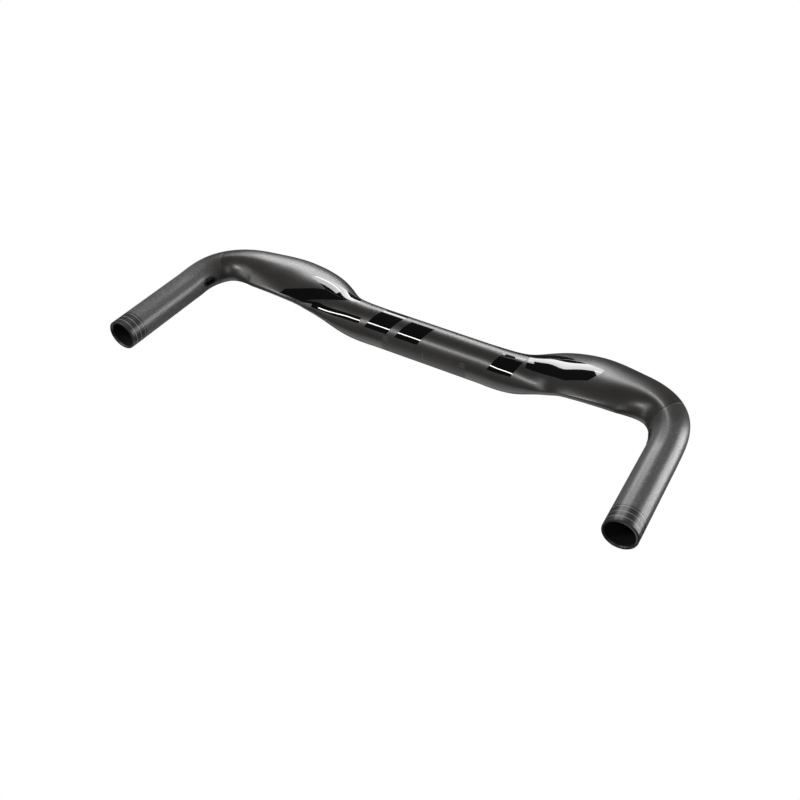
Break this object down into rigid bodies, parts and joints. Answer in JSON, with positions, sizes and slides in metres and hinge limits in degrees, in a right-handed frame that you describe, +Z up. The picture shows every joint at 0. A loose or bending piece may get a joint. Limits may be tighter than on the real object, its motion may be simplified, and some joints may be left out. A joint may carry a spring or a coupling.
{
  "type": "bullhorn handlebar",
  "caption": "Carbon-fibre base bar for a time-trial bicycle: round stem clamp zone, flat rising wings and straight forward horns with cable ports.",
  "frame": {"origin": "centre of the stem clamp zone, on its axis", "axes": "+X runs along the clamp axis to the rider's left, the horns point forward along -Y, and +Z is up"},
  "size_m": [0.424, 0.1642, 0.0496],
  "materials": {
    "coated_carbon": "satin clear coat over unidirectional carbon, with gloss black panels",
    "matt_carbon": "matt, slightly textured carbon for tape or grips",
    "bare_carbon": "bare moulded carbon with peel-ply texture",
    "grommet_plastic": "fine-grained moulded polymer",
    "liner_plastic": "translucent extruded nylon"
  },
  "bodies": {
    "root": {"wing_shell": "coated_carbon", "right_horn": "matt_carbon", "left_horn": "matt_carbon", "right_joint_spigot": "bare_carbon", "left_joint_spigot": "bare_carbon", "clamp_reinforcement": "bare_carbon", "right_port_grommet": "grommet_plastic", "left_port_grommet": "grommet_plastic", "right_exit_grommet": "grommet_plastic", "left_exit_grommet": "grommet_plastic", "right_cable_liner": "liner_plastic", "left_cable_liner": "liner_plastic"}
  },
  "joints": []
}
